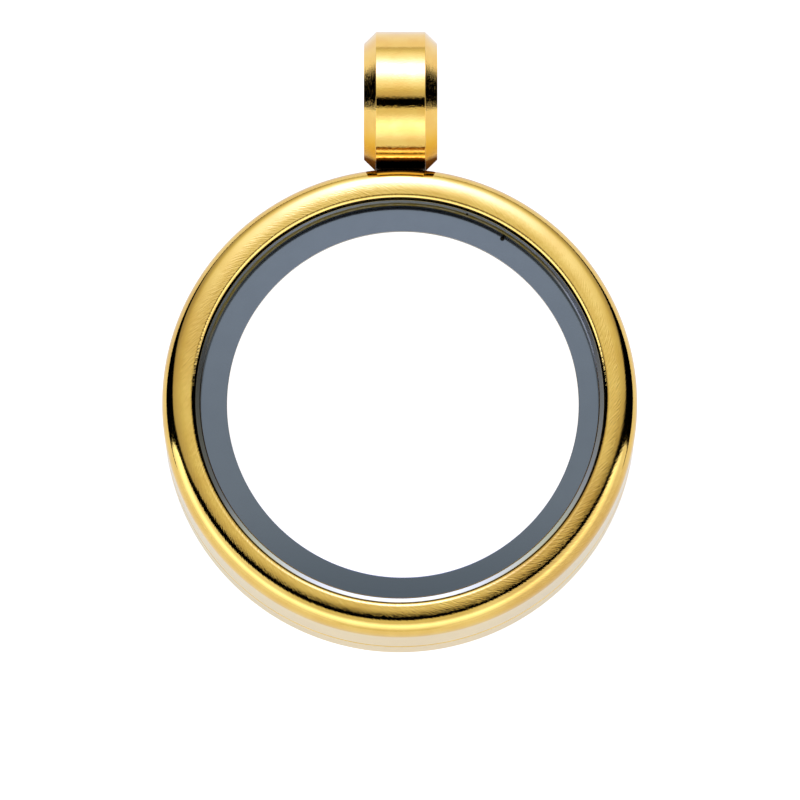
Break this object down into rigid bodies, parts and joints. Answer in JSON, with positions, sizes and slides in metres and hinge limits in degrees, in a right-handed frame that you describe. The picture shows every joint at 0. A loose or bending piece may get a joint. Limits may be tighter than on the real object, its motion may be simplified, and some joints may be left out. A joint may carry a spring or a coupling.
{
  "type": "round open-window locket case pendant",
  "caption": "Round gold-coloured pendant case with an open window, a lift-off front half, steel inner rings and a fixed bevelled bail for a chain.",
  "frame": {"origin": "centre of the case on its flat back face, where the opening in the back cover leaves it", "axes": "+Z the way the window faces, +Y from the case's centre to the bail, +X to the right seen from the front, along the chain's hole"},
  "size_m": [0.03, 0.039, 0.0103],
  "materials": {
    "gold": "polished gold-coloured plating over metal",
    "steel": "smooth dark steel"
  },
  "bodies": {
    "back": {"back_cover": "gold", "inner_rim": "steel", "seat_ring": "steel"},
    "front": {"case_front": "gold"}
  },
  "joints": [
    {"name": "front_lift", "type": "slide", "parent": "back", "child": "front", "axis": [0, 0, 1], "range_m": [0, 0.008]}
  ]
}
